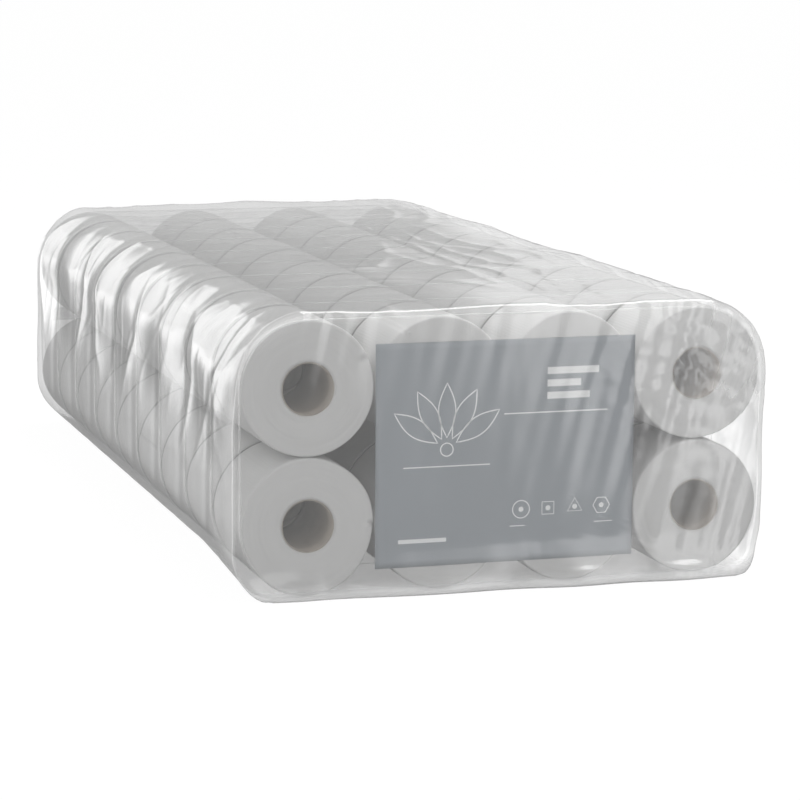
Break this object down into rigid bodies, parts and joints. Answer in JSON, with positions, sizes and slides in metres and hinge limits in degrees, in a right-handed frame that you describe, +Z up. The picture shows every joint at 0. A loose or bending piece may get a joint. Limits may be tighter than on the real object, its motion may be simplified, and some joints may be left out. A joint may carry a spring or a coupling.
{
  "type": "toilet paper roll pack",
  "caption": "Long clear film bag of white toilet rolls in film-wrapped layers, lying on its side, with a grey printed sheet at the front end.",
  "frame": {"origin": "middle of the bag's footprint, on the surface that it rests on", "axes": "+X across the columns of rolls, -Y out of the end with the printed sheet, +Z up"},
  "size_m": [0.4756, 0.9076, 0.2413],
  "materials": {
    "bag_film": "thin clear polythene, glossy and creased",
    "wrap_film": "thin clear polythene, drawn tight",
    "roll_paper": "white embossed tissue, cut clean at the ends",
    "core_card": "plain grey-brown spiral-wound card",
    "printed_sheet": "matt blue-grey print with a few thin white shapes"
  },
  "bodies": {
    "root": {"outer_bag": "bag_film", "label_insert": "printed_sheet", "wrap_layer_1": "wrap_film", "rolls_layer_1": "roll_paper", "cores_layer_1": "core_card", "wrap_layer_2": "wrap_film", "rolls_layer_2": "roll_paper", "cores_layer_2": "core_card", "wrap_layer_3": "wrap_film", "rolls_layer_3": "roll_paper", "cores_layer_3": "core_card", "wrap_layer_4": "wrap_film", "rolls_layer_4": "roll_paper", "cores_layer_4": "core_card", "wrap_layer_5": "wrap_film", "rolls_layer_5": "roll_paper", "cores_layer_5": "core_card", "wrap_layer_6": "wrap_film", "rolls_layer_6": "roll_paper", "cores_layer_6": "core_card", "wrap_layer_7": "wrap_film", "rolls_layer_7": "roll_paper", "cores_layer_7": "core_card", "wrap_layer_8": "wrap_film", "rolls_layer_8": "roll_paper", "cores_layer_8": "core_card", "wrap_layer_9": "wrap_film", "rolls_layer_9": "roll_paper", "cores_layer_9": "core_card"}
  },
  "joints": []
}
